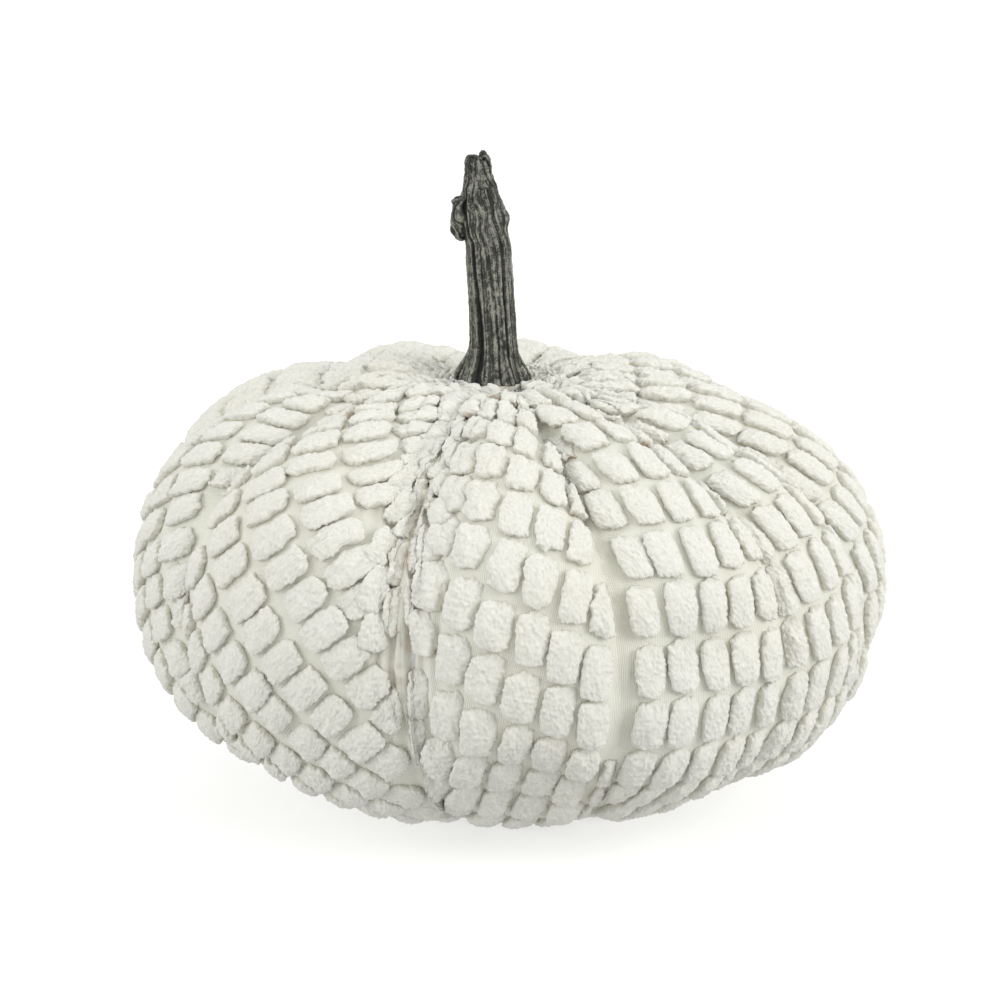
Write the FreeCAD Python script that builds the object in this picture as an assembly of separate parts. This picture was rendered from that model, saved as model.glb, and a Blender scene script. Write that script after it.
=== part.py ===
"""Stuffed fabric pumpkin ornament with a moulded resin stem.

The body is a sewn bag of gores, filled with polyester fibre. It is gathered by a thread round a short
neck at the top and another at the bottom, and a tie cord through the middle pulls the two gathers
together. A resin stem on a steel pin is glued over the top gather, and a felt disc is glued over the
bottom one, which is the face that the ornament rests on.

Frame: millimetres, +Z up, origin at the centre of the felt disc's underside. Azimuths are in degrees
about Z, with 0 towards -Y and 90 towards +X. The gather axis leans: a point at height z is shifted by
LEAN_X * z / SEAT_Z along X.
"""
import FreeCAD, Part

import math
import os

Vector = FreeCAD.Vector

# ---- Driving dimensions -------------------------------------------------------------------------
BODY_WIDTH = 250.0          # along X, over the pile
BODY_DEPTH = 244.0          # along Y, over the pile
CREST_Z = 148.5             # top of the lobes
EQUATOR_Z = 77.0            # height of the widest line
TOP_FULLNESS = 2.30         # superellipse exponent of the side profile above the widest line
TOP_FULLNESS_SIDE = 0.12    # how much more that is on the -X side, and less on the +X side
BOTTOM_FULLNESS = 2.32      # the same exponent below the widest line
LEAN_X = -9.5               # how far the top gather stands off the bottom one, along X

COVER_THICKNESS = 3.2       # knitted ground and its tufts
NECK_R = 4.5                # clear radius inside the gathered neck
NECK_DEPTH = 7.0            # how far the cover's ends turn into the body
NECK_ROLL = 4.2             # radius of the roll from a neck's wall to its seat
SEAT_R = 14.0               # flat ring of gathered cover round each neck
SEAT_DROP = 7.8             # how far the top seat lies under the crest
DIMPLE_WIDTH = 8.0          # from the top seat's edge to where its slope is steepest
BASE_RECESS = 5.0           # how far the bottom seat lies above the underside

FELT_R = 36.0
FELT_THICKNESS = 1.5
BASE_GLUE_R = 30.0          # outer radius of the ring of glue on the felt
BASE_GLUE_WIDTH = 8.0
BASE_GLUE_THICKNESS = 0.8

GATHER_THREAD_R = 0.6
TIE_R = 0.7
TIE_KNOT_R = 1.5
TIE_AZIMUTH = 31.0          # one strand here, the other opposite
SEAM_THREAD = 0.6           # side of the square that stands for the seam stitching

STEM_HEIGHT = 76.5          # from the stem's underside to its highest tip
STEM_BASE_R = 12.1          # at the root flare
STEM_SHAFT_R = 7.0
STEM_KNOT_R = 7.6
STEM_RIDGES = 9
STEM_RIDGE_DEPTH = 0.5
STEM_GLUE_R = 11.3
STEM_GLUE_THICKNESS = 2.0
PIN_R = 1.5
PIN_IN_STEM = 22.0
PIN_IN_BODY = 45.0

SOFT_GAP = 0.3              # between a soft piece and what it lies against
CORE_GAP = 0.3              # between the cover and the filling
SEAM_GAP = 0.6              # on either side of the seam stitching, in the filling's groove
PIERCE_GAP = 0.3            # round a strand that pierces cover or filling
PIN_GAP = 0.1               # round the pin in the resin

# Seams between neighbouring gores: azimuth, and how deep the seam is drawn in at its deepest.
SEAMS = (
    (-60.0, 6.0),
    (-17.0, 12.0),
    (17.0, 7.0),
    (47.0, 6.0),
    (71.0, 9.0),
    (110.0, 9.0),
    (150.0, 7.0),
    (190.0, 9.0),
    (228.0, 8.0),
    (265.0, 7.0),
)

# ---- Sizes that follow --------------------------------------------------------------------------
SEAT_Z = CREST_Z - SEAT_DROP
UNDERSIDE_Z = FELT_THICKNESS + BASE_GLUE_THICKNESS + SOFT_GAP
BOTTOM_SEAT_Z = UNDERSIDE_Z + BASE_RECESS
NECK_WALL_R = NECK_R + COVER_THICKNESS
GATHER_RING_R = NECK_WALL_R + SOFT_GAP + GATHER_THREAD_R
TIE_RING_R = GATHER_RING_R + GATHER_THREAD_R + SOFT_GAP + TIE_R
STEM_Z = SEAT_Z + SOFT_GAP + STEM_GLUE_THICKNESS
PIERCE_R = TIE_R + PIERCE_GAP

# Rows of points above and below the widest line: angle from the pole, and how much of the seams'
# depth acts there. The seams are deepest above the widest line and nearly gone underneath.
DIMPLE_RELIEF = 0.4
TOP_RELIEFS = ((12, 0.6), (19, 0.8), (28, 1.0), (40, 1.0), (53, 1.0), (66, 0.95), (78, 0.85))
EQUATOR_RELIEF = 0.7
BOTTOM_RELIEFS = ((78, 0.5), (66, 0.34), (53, 0.24), (40, 0.18), (30, 0.12), (22, 0.08))

# Columns of points across a gore: share of its width, and how much of the seam's depth acts there.
COLUMNS = (
    (0.0, 1.0),
    (0.05, 0.78),
    (0.14, 0.45),
    (0.30, 0.13),
    (0.50, 0.0),
)


# ---- Splines and nets ---------------------------------------------------------------------------
def spline_through(points, parameters):
    """Cubic spline through the points, at those parameters."""
    curve = Part.BSplineCurve()
    curve.interpolate(Points=points, Parameters=parameters)
    return curve


def surface_through(grid, row_parameters, column_parameters):
    """Bicubic surface through a grid of points: splines down the columns, then across their poles."""
    down = [spline_through([row[i] for row in grid], row_parameters) for i in range(len(grid[0]))]
    down_poles = [curve.getPoles() for curve in down]
    across = [
        spline_through([poles[j] for poles in down_poles], column_parameters)
        for j in range(len(down_poles[0]))
    ]
    poles = [curve.getPoles() for curve in across]
    surface = Part.BSplineSurface()
    surface.buildFromPolesMultsKnots(
        poles,
        down[0].getMultiplicities(),
        across[0].getMultiplicities(),
        down[0].getKnots(),
        across[0].getKnots(),
        False,
        False,
        down[0].Degree,
        across[0].Degree,
    )
    return surface


def solid_of(faces):
    """One closed solid from faces whose edges meet."""
    shell = Part.makeShell(faces)
    shell.sewShape()
    solid = Part.makeSolid(shell)
    if solid.Volume < 0:
        solid.reverse()
    return solid


def ruled(curve_a, curve_b):
    """Face of straight lines between two splines that have the same knots."""
    surface = Part.BSplineSurface()
    surface.buildFromPolesMultsKnots(
        [curve_a.getPoles(), curve_b.getPoles()],
        [2, 2],
        curve_a.getMultiplicities(),
        [0.0, 1.0],
        curve_a.getKnots(),
        False,
        False,
        1,
        curve_a.Degree,
    )
    return surface.toShape()


def shares_of_length(points):
    """Parameters from 0 to 1 by the length along a polyline of (rho, z)."""
    lengths = [0.0]
    for a, b in zip(points, points[1:]):
        lengths.append(lengths[-1] + math.dist(a, b))
    return [length / lengths[-1] for length in lengths]


# ---- The body's shape ---------------------------------------------------------------------------
def leaned(x, y, z):
    return Vector(x + LEAN_X * z / SEAT_Z, y, z)


def at_azimuth(azimuth, rho, z):
    angle = math.radians(azimuth)
    return leaned(rho * math.sin(angle), -rho * math.cos(angle), z)


def equator_radius(azimuth):
    angle = math.radians(azimuth)
    return 1.0 / math.hypot(
        math.sin(angle) / (BODY_WIDTH / 2), math.cos(angle) / (BODY_DEPTH / 2)
    )


def superellipse(angle, radius, height, fullness):
    """(radius, height from the equator) at an angle from the pole, in degrees."""
    power = 2.0 / fullness
    a = math.radians(angle)
    return radius * math.sin(a) ** power, height * abs(math.cos(a)) ** power


def side_profile(azimuth):
    """Points (rho, z, relief) from the top neck's inner end to the bottom neck's, on a lobe's crest.

    relief is how much of a seam's depth acts at that height.
    """
    radius = equator_radius(azimuth)
    top, bottom = CREST_Z - EQUATOR_Z, EQUATOR_Z - UNDERSIDE_Z
    top_fullness = TOP_FULLNESS - TOP_FULLNESS_SIDE * math.sin(math.radians(azimuth))
    points = [
        (NECK_R, SEAT_Z - NECK_DEPTH, 0.0),
        (NECK_R, SEAT_Z - 0.86 * NECK_ROLL, 0.0),
        (NECK_R + 0.29 * NECK_ROLL, SEAT_Z - 0.17 * NECK_ROLL, 0.0),
        (NECK_R + NECK_ROLL, SEAT_Z, 0.0),
        (SEAT_R, SEAT_Z, 0.0),
        (SEAT_R + DIMPLE_WIDTH, SEAT_Z + 0.42 * SEAT_DROP, DIMPLE_RELIEF),
    ]
    for angle, relief in TOP_RELIEFS:
        rho, height = superellipse(angle, radius, top, top_fullness)
        points.append((rho, EQUATOR_Z + height, relief))
    points.append((radius, EQUATOR_Z, EQUATOR_RELIEF))
    for angle, relief in BOTTOM_RELIEFS:
        rho, height = superellipse(angle, radius, bottom, BOTTOM_FULLNESS)
        points.append((rho, EQUATOR_Z - height, relief))
    points += [
        (FELT_R, UNDERSIDE_Z + 0.9, 0.0),
        (BASE_GLUE_R, UNDERSIDE_Z + 0.15, 0.0),
        (BASE_GLUE_R - BASE_GLUE_WIDTH / 2, UNDERSIDE_Z, 0.0),
        (BASE_GLUE_R - BASE_GLUE_WIDTH, UNDERSIDE_Z + 0.25, 0.0),
        (SEAT_R + 5.5, UNDERSIDE_Z + 0.28 * BASE_RECESS, 0.0),
        (SEAT_R + 2.8, UNDERSIDE_Z + 0.8 * BASE_RECESS, 0.0),
        (SEAT_R, BOTTOM_SEAT_Z, 0.0),
        (NECK_R + NECK_ROLL, BOTTOM_SEAT_Z, 0.0),
        (NECK_R + 0.29 * NECK_ROLL, BOTTOM_SEAT_Z + 0.17 * NECK_ROLL, 0.0),
        (NECK_R, BOTTOM_SEAT_Z + 0.86 * NECK_ROLL, 0.0),
        (NECK_R, BOTTOM_SEAT_Z + NECK_DEPTH, 0.0),
    ]
    return points


FRONT_PROFILE = side_profile(0.0)
ROW_COUNT = len(FRONT_PROFILE)
ROWS = shares_of_length([(rho, z) for rho, z, _ in FRONT_PROFILE])
RELIEFS = [relief for _, _, relief in FRONT_PROFILE]
FIRST_SIDE_ROW, LAST_SIDE_ROW = 4, ROW_COUNT - 5     # from seat to seat, without the necks


def inward_normals(points):
    """Unit normals of the profile towards the filling, in (rho, z)."""
    normals = []
    for i in range(len(points)):
        (r0, z0, _), (r1, z1, _) = points[max(i - 1, 0)], points[min(i + 1, len(points) - 1)]
        length = math.hypot(r1 - r0, z1 - z0)
        normals.append(((z1 - z0) / length, -(r1 - r0) / length))
    return normals


NORMALS = inward_normals(FRONT_PROFILE)


def body_point(azimuth, row, inward):
    """The point of a profile row at an azimuth, moved inward from the crest's surface."""
    rho, z, _ = side_profile(azimuth)[row]
    normal_rho, normal_z = NORMALS[row]
    return at_azimuth(azimuth, rho + inward * normal_rho, z + inward * normal_z)


def columns_of(left, right):
    """(azimuth, share of the left seam's depth, share of the right's) across one gore."""
    start, end = left[0], right[0]
    if end < start:
        end += 360.0
    shares = [(u, k, 0.0) for u, k in COLUMNS]
    shares += [(1 - u, 0.0, k) for u, k in reversed(COLUMNS[:-1])]
    return [(start + u * (end - start), a, b) for u, a, b in shares], [u for u, _, _ in shares]


def gore_surface(left, right, inward, groove=0.0):
    """Surface of one gore from seam to seam. groove moves the seams' own edges further inward."""
    columns, shares = columns_of(left, right)
    grid = []
    for row in range(ROW_COUNT):
        cut = groove * max(0.0, min(1.0, (row - FIRST_SIDE_ROW) / 2, (LAST_SIDE_ROW - row) / 2))
        grid.append([])
        for azimuth, a, b in columns:
            drawn_in = RELIEFS[row] * (a * left[1] + b * right[1])
            deeper = cut * max(a, b) ** 2
            grid[-1].append(body_point(azimuth, row, inward + drawn_in + deeper))
    return surface_through(grid, ROWS, shares)


def edges_of(surface):
    """The surface's top, bottom, left and right edges, as curves."""
    u0, u1, v0, v1 = surface.bounds()
    return surface.uIso(u0), surface.uIso(u1), surface.vIso(v0), surface.vIso(v1)


# ---- Soft pieces --------------------------------------------------------------------------------
def neighbours():
    return [(SEAMS[i], SEAMS[(i + 1) % len(SEAMS)]) for i in range(len(SEAMS))]


def tie_points(z):
    """Where the two strands of the tie cord cross height z."""
    return [at_azimuth(TIE_AZIMUTH, TIE_RING_R, z), at_azimuth(TIE_AZIMUTH + 180, TIE_RING_R, z)]


def rod(start, end, radius):
    axis = end - start
    return Part.makeCylinder(radius, axis.Length, start, axis)


def strands(radius, low, high):
    lower, upper = tie_points(low), tie_points(high)
    return [rod(a, b, radius) for a, b in zip(lower, upper)]


def cover_panel(left, right):
    """One gore of the cover, with the holes that the tie cord pierces in it."""
    outer = gore_surface(left, right, 0.0)
    inner = gore_surface(left, right, COVER_THICKNESS)
    sides = [ruled(a, b) for a, b in zip(edges_of(outer), edges_of(inner))]
    panel = solid_of([outer.toShape(), inner.toShape()] + sides)
    start, end = left[0], right[0] if right[0] > left[0] else right[0] + 360.0
    for strand, azimuth in zip(strands(PIERCE_R, -1.0, CREST_Z), (TIE_AZIMUTH, TIE_AZIMUTH + 180)):
        if start < azimuth < end:
            panel = panel.cut(strand)
    return panel


def fibre_core():
    """The filling, with pockets for the necks and channels for the pin and the tie cord."""
    groove = 2 * SEAM_GAP + SEAM_THREAD - CORE_GAP
    surfaces = [
        gore_surface(left, right, COVER_THICKNESS + CORE_GAP, groove)
        for left, right in neighbours()
    ]
    for surface in surfaces:
        surface.segment(ROWS[FIRST_SIDE_ROW], ROWS[LAST_SIDE_ROW], 0.0, 1.0)
    ends = [
        Part.Face(Part.Wire([edges_of(surface)[end].toShape() for surface in surfaces]))
        for end in (0, 1)
    ]
    core = solid_of([surface.toShape() for surface in surfaces] + ends)
    pocket_r = GATHER_RING_R + GATHER_THREAD_R + SOFT_GAP
    pocket_floor = SEAT_Z - NECK_DEPTH - SOFT_GAP
    pocket_roof = BOTTOM_SEAT_Z + NECK_DEPTH + SOFT_GAP
    top_pocket = rod(leaned(0, 0, pocket_floor), leaned(0, 0, CREST_Z), pocket_r)
    bottom_pocket = rod(leaned(0, 0, 0), leaned(0, 0, pocket_roof), pocket_r)
    pin_foot = SEAT_Z - PIN_IN_BODY - SOFT_GAP
    pin_channel = rod(stem_foot(pin_foot), stem_foot(CREST_Z), PIN_R + PIERCE_GAP)
    return core.cut([top_pocket, bottom_pocket, pin_channel] + strands(PIERCE_R, -1.0, CREST_Z))


def seam_thread(seam):
    """The stitching of one seam, as a thin square strip just inside the drawn-in edge."""
    azimuth, depth = seam
    side = Vector(math.cos(math.radians(azimuth)), math.sin(math.radians(azimuth)), 0)
    near = COVER_THICKNESS + SEAM_GAP
    far = near + SEAM_THREAD
    corners = []
    for inward, sideways in ((near, -0.5), (near, 0.5), (far, 0.5), (far, -0.5)):
        points = [
            body_point(azimuth, row, inward + RELIEFS[row] * depth)
            + side * (sideways * SEAM_THREAD)
            for row in range(ROW_COUNT)
        ]
        curve = spline_through(points, ROWS)
        curve.segment(ROWS[FIRST_SIDE_ROW + 2], ROWS[LAST_SIDE_ROW - 3])
        corners.append(curve)
    faces = [ruled(corners[i], corners[(i + 1) % 4]) for i in range(4)]
    for end in (0, -1):
        tips = [curve.getPoles()[end] for curve in corners]
        faces.append(Part.Face(Part.makePolygon(tips + tips[:1])))
    return solid_of(faces)


def gather_thread(z):
    """The thread drawn tight round a neck."""
    return Part.makeTorus(GATHER_RING_R, GATHER_THREAD_R, leaned(0, 0, z), Vector(0, 0, 1))


def tie_ring(z, radius):
    """A half ring of the tie cord from strand to strand, round the gather axis."""
    centre = leaned(0, 0, z)
    start = tie_points(z)[0]
    section = Part.Wire(Part.makeCircle(radius, start, Vector(0, 0, 1).cross(start - centre)))
    return Part.Face(section).revolve(centre, Vector(0, 0, 1), 180)


def centre_tie():
    """The cord that pulls the gathers together: two strands, a half ring at each end and a knot."""
    high = SEAT_Z + SOFT_GAP + TIE_R
    low = BOTTOM_SEAT_Z - SOFT_GAP - TIE_R
    pieces = strands(TIE_R, low, high)
    for z in (low, high):
        pieces.append(tie_ring(z, TIE_R))
        pieces += [Part.makeSphere(TIE_R, point) for point in tie_points(z)]
    pieces.append(Part.makeSphere(TIE_KNOT_R, tie_points(low)[1] + Vector(0, 0, -TIE_R)))
    return pieces[0].fuse(pieces[1:])


def base_felt():
    return Part.makeCylinder(FELT_R, FELT_THICKNESS)


def base_glue():
    """Ring of adhesive between the felt and the cover's underside."""
    foot = Vector(0, 0, FELT_THICKNESS)
    ring = Part.makeCylinder(BASE_GLUE_R, BASE_GLUE_THICKNESS, foot)
    return ring.cut(Part.makeCylinder(BASE_GLUE_R - BASE_GLUE_WIDTH, BASE_GLUE_THICKNESS, foot))


# ---- The stem -----------------------------------------------------------------------------------
def stem_foot(z):
    """The point at height z on the upright line through the top gather."""
    return Vector(LEAN_X, 0, z)


def stem_glue():
    """Pad of adhesive under the stem, over the tie cord's top ring and round the pin."""
    foot = SEAT_Z + SOFT_GAP
    pad = Part.makeCylinder(STEM_GLUE_R, STEM_GLUE_THICKNESS, stem_foot(foot))
    ring = Part.makeTorus(TIE_RING_R, PIERCE_R, leaned(0, 0, foot + TIE_R), Vector(0, 0, 1))
    hole = Part.makeCylinder(PIN_R + PIN_GAP, STEM_GLUE_THICKNESS, stem_foot(foot))
    return pad.cut([ring, hole])


def stem_section(height, shift, radius, ridge_depth):
    """Closed ridged section of the stem: height, shift along X and mean radius."""
    centre = stem_foot(STEM_Z + height) + Vector(shift, 0, 0)
    points = []
    count = 4 * STEM_RIDGES
    for i in range(count):
        angle = 2 * math.pi * i / count
        r = radius + ridge_depth * math.cos(STEM_RIDGES * angle)
        points.append(centre + Vector(r * math.cos(angle), r * math.sin(angle), 0))
    curve = Part.BSplineCurve()
    curve.interpolate(Points=points, PeriodicFlag=True)
    return Part.Wire(curve.toShape())


def prong(foot, tip, foot_r, tip_r):
    """A tapering broken-off end with a round tip, from foot to tip."""
    axis = tip - foot
    taper = Part.makeCone(foot_r, tip_r, axis.Length - tip_r, foot, axis)
    return taper.fuse(Part.makeSphere(tip_r, foot + axis * (1 - tip_r / axis.Length)))


def stem():
    """Ridged shaft on a root flare, a knot where it was cut, and two broken ends above the knot."""
    knot_z = 0.70 * STEM_HEIGHT
    sections = (
        (0.0, 0.0, STEM_BASE_R - 1.2, 1.2),
        (0.05 * STEM_HEIGHT, -0.3, 0.70 * STEM_BASE_R + 1.2, 0.9),
        (0.15 * STEM_HEIGHT, -0.5, STEM_SHAFT_R + 0.6, STEM_RIDGE_DEPTH),
        (0.30 * STEM_HEIGHT, -1.1, STEM_SHAFT_R, STEM_RIDGE_DEPTH),
        (0.45 * STEM_HEIGHT, -1.9, STEM_SHAFT_R - 0.1, STEM_RIDGE_DEPTH),
        (0.58 * STEM_HEIGHT, -2.4, STEM_SHAFT_R - 0.4, STEM_RIDGE_DEPTH),
        (knot_z, -4.0, STEM_SHAFT_R - 0.2, STEM_RIDGE_DEPTH),
        (0.82 * STEM_HEIGHT, -4.6, STEM_SHAFT_R - 1.8, STEM_RIDGE_DEPTH),
    )
    shaft = Part.makeLoft([stem_section(*section) for section in sections], True)

    def place(shift_x, shift_y, height):
        return stem_foot(STEM_Z + height) + Vector(shift_x, shift_y, 0)

    left_knot = Part.makeSphere(0.72 * STEM_KNOT_R, place(-8.7, -0.5, knot_z))
    right_knot = Part.makeSphere(0.52 * STEM_KNOT_R, place(0.8, 0.8, knot_z - 0.8))
    left_prong = prong(place(-6.0, 0, 0.76 * STEM_HEIGHT), place(-7.0, 0, 0.975 * STEM_HEIGHT), 4.2, 2.3)
    right_prong = prong(place(-0.8, 1.0, 0.76 * STEM_HEIGHT), place(-3.4, 1.2, STEM_HEIGHT), 3.2, 1.6)
    whole = shaft.fuse([left_knot, right_knot, left_prong, right_prong])
    pin_hole = Part.makeCylinder(PIN_R + PIN_GAP, PIN_IN_STEM + PIN_GAP, stem_foot(STEM_Z))
    return whole.cut(pin_hole)


def stem_pin():
    """Steel pin set in the stem, pushed down through the neck into the filling."""
    low, high = SEAT_Z - PIN_IN_BODY, STEM_Z + PIN_IN_STEM
    return Part.makeCylinder(PIN_R, high - low, stem_foot(low))


# ---- Build --------------------------------------------------------------------------------------
def build():
    nodes = {}
    for i, (left, right) in enumerate(neighbours(), 1):
        nodes[f"cover_panel_{i:02d}"] = cover_panel(left, right)
    nodes["fibre_core"] = fibre_core()
    for i, seam in enumerate(SEAMS, 1):
        nodes[f"seam_thread_{i:02d}"] = seam_thread(seam)
    ring_rise = (NECK_DEPTH - COVER_THICKNESS) / 2
    nodes["top_gather_thread"] = gather_thread(SEAT_Z - COVER_THICKNESS - ring_rise)
    nodes["bottom_gather_thread"] = gather_thread(BOTTOM_SEAT_Z + COVER_THICKNESS + ring_rise)
    nodes["centre_tie_cord"] = centre_tie()
    nodes["stem"] = stem()
    nodes["stem_pin"] = stem_pin()
    nodes["stem_glue"] = stem_glue()
    nodes["base_felt"] = base_felt()
    nodes["base_glue"] = base_glue()
    return nodes


os.makedirs("parts", exist_ok=True)
for name, shape in build().items():
    shape.exportStep(f"parts/{name}.step")
    print(f"{name}: {len(shape.Solids)} solid, {shape.Volume / 1000:.2f} cm3, valid {shape.isValid()}")
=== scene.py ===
"""Stuffed fabric pumpkin ornament: gores of tufted chenille over a fine knit, and a weathered resin stem.

The CAD cover panels give the outer skin at the tips of the tufts. The knitted ground lies under it, is
swelled by a cloth simulation that its stitched seams hold back, and carries the tufts, which are laid
out on each gore's flat pattern. Points are worked out in millimetres in the CAD frame, and go into
meshes in metres.
"""

import itertools
import math

import bmesh
import bpy
import numpy as np
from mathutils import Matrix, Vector
from mathutils.bvhtree import BVHTree


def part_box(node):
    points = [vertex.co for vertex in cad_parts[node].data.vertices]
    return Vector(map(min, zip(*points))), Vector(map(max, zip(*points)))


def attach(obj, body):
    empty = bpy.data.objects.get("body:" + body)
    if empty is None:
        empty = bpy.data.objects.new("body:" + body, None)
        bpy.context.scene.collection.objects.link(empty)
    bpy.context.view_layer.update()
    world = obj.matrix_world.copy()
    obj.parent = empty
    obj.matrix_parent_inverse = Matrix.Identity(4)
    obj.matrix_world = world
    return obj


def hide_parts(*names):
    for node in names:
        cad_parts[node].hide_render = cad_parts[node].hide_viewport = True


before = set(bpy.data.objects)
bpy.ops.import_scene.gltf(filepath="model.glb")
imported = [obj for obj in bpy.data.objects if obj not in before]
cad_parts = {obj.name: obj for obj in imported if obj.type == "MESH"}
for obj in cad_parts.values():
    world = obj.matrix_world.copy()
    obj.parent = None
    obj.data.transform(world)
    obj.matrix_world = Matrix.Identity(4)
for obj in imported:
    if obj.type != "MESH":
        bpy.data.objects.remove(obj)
for default in ("Cube", "Light", "Camera"):
    if default in bpy.data.objects:
        bpy.data.objects.remove(bpy.data.objects[default])
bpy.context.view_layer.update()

MM = 0.001
RNG = np.random.default_rng(11)

# ---- Sizes, in mm and degrees ----
PILE_HEIGHT = 3.2            # from the knitted ground to the tips of the tufts
TUFT_PITCH = (11.4, 18.3)    # across and along the fabric's grain
TUFT_SIZE = (10.6, 16.9)
TUFT_GRID = (34, 46)         # cells across and along one tuft's mesh
GORE_COLUMNS = 96            # cells of ground from seam to seam
GORE_ROWS = 320              # cells of ground from neck to underside
TOP_POLAR = 5.5              # where the skin starts and ends, as angles from the vertical
BOTTOM_POLAR = 160.0
GATHER = 1.3                 # how much spare width is bunched up at the neck, as a share
GATHER_WIDTH = 52.0          # how far from the neck the cover is bunched up
TUFTS_PER_PIECE = 62
MAX_SWELL = 3.5              # the furthest the cloth simulation may move the ground

# The grain of each gore: how far the fabric is turned on it, anticlockwise seen from outside, how far
# its rows slip from column to column, and where its pattern starts. The last gore is at the left rear.
GRAINS = (
    (131.0, 0.00, (1.0, 4.0)),
    (-13.0, -0.16, (-2.0, 3.0)),
    (-2.0, 0.00, (3.0, 2.0)),
    (4.0, 0.04, (1.0, 8.0)),
    (3.0, 0.05, (5.0, 1.0)),
    (-6.0, -0.05, (0.0, 7.0)),
    (98.0, 0.04, (4.0, 2.0)),
    (8.0, 0.03, (2.0, 9.0)),
    (-4.0, 0.00, (6.0, 5.0)),
    (118.0, 0.03, (2.0, 6.0)),
)

# Seams where bunched part-tufts lie: the gore's number from nought, and its side.
BUNCHED = ((0, 1), (1, -1))
BUNCHED_WIDTH, BUNCHED_LENGTH = 13.5, 150.0

TOP_MARGIN, BOTTOM_MARGIN = 9.0, 8.0       # bare ground at a gore's two ends
SEAM_ALLOWANCE = 0.8         # how far past a seam a whole tuft's middle may lie
LATTICE_REACH = 16           # rows and columns of tufts each way from a gore's middle


# ---- Noise ----
def lattice_hash(x, y, z, seed):
    """A number from 0 to 1 for each lattice point."""
    h = (
        x.astype(np.uint32) * np.uint32(374761393)
        + y.astype(np.uint32) * np.uint32(668265263)
        + z.astype(np.uint32) * np.uint32(2246822519)
        + np.uint32(seed * 3266489917 % 2**32)
    )
    h = (h ^ (h >> np.uint32(13))) * np.uint32(1274126177)
    h = (h ^ (h >> np.uint32(16))) * np.uint32(2654435761)
    return (h ^ (h >> np.uint32(15))).astype(np.float64) / 2**32


def noise(points, size, seed=0):
    """Smooth value noise from -1 to 1, with features of that size, at each row of points."""
    scaled = np.asarray(points, dtype=np.float64) / size + 1000.0
    base = np.floor(scaled)
    part = scaled - base
    part = part * part * part * (part * (part * 6 - 15) + 10)
    cell = base.astype(np.int64)
    total = 0.0
    for corner in itertools.product((0, 1), repeat=3):
        weight = 1.0
        for axis, far in enumerate(corner):
            weight = weight * (part[..., axis] if far else 1 - part[..., axis])
        total = total + weight * lattice_hash(*(cell[..., axis] + corner[axis] for axis in range(3)), seed)
    return 2 * total - 1


def granules(points, size, seed=0):
    """Rounded grains of that size, from 0 between them to 1 on their tops, at each row of points."""
    scaled = points / size + 1000.0
    base = np.floor(scaled).astype(np.int64)
    nearest = np.full(points.shape[:-1], 9.0)
    for step in itertools.product((-1, 0, 1), repeat=3):
        cell = base + np.array(step)
        gap = 0.0
        for axis in range(3):
            jitter = lattice_hash(cell[..., 0], cell[..., 1], cell[..., 2], seed + axis)
            gap = gap + (cell[..., axis] + 0.15 + 0.7 * jitter - scaled[..., axis]) ** 2
        nearest = np.minimum(nearest, gap)
    return np.clip(1 - nearest / 0.7, 0, 1)


def smoothstep(low, high, x):
    t = np.clip((x - low) / (high - low), 0, 1)
    return t * t * (3 - 2 * t)


# ---- Grids ----
def sample(grid, row, column):
    """Bilinear values of a grid (rows, columns, ...) at fractional rows and columns."""
    row = np.clip(row, 0, grid.shape[0] - 1.000001)
    column = np.clip(column, 0, grid.shape[1] - 1.000001)
    r, c = row.astype(int), column.astype(int)
    fr, fc = row - r, column - c
    if grid.ndim > 2:
        fr, fc = fr[..., None], fc[..., None]
    top = grid[r, c] * (1 - fc) + grid[r, c + 1] * fc
    low = grid[r + 1, c] * (1 - fc) + grid[r + 1, c + 1] * fc
    return top * (1 - fr) + low * fr


def smoothed(grid, passes, wrap=False):
    """The grid with each point pulled to its neighbours' mean. Edges stay, unless columns wrap."""
    for _ in range(passes):
        inner = grid.copy()
        inner[1:-1] = (grid[:-2] + 2 * grid[1:-1] + grid[2:]) / 4
        if wrap:
            grid = (np.roll(inner, 1, 1) + 2 * inner + np.roll(inner, -1, 1)) / 4
        else:
            grid = inner.copy()
            grid[:, 1:-1] = (inner[:, :-2] + 2 * inner[:, 1:-1] + inner[:, 2:]) / 4
    return grid


def unit(vectors):
    return vectors / np.maximum(np.linalg.norm(vectors, axis=-1, keepdims=True), 1e-9)


def grid_normals(grid):
    """Outward normals of a grid whose rows go down and whose columns go anticlockwise from above."""
    down = np.gradient(grid, axis=0)
    along = np.gradient(grid, axis=1)
    return unit(np.cross(down, along))


# ---- Meshes ----
def add_object(name, data):
    """A new object in the scene."""
    thing = bpy.data.objects.new(name, data)
    bpy.context.scene.collection.objects.link(thing)
    return thing


def vectors_of(vertices, key="co"):
    """One vector for each vertex: its place, or its normal."""
    values = np.empty(len(vertices) * 3)
    vertices.foreach_get(key, values)
    return values.reshape(-1, 3)


def evaluated(thing):
    """The object's mesh with its modifiers applied."""
    return thing.evaluated_get(bpy.context.evaluated_depsgraph_get()).to_mesh()


def quads(rows, columns, wrap=False):
    """Quads of a grid of rows by columns of points, facing out for grids as in grid_normals."""
    last = columns if wrap else columns - 1
    r, c = np.meshgrid(np.arange(rows - 1), np.arange(last), indexing="ij")
    nxt = (c + 1) % columns
    corners = (r * columns + c, (r + 1) * columns + c, (r + 1) * columns + nxt, r * columns + nxt)
    return np.stack(corners, -1).reshape(-1, 4)


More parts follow.
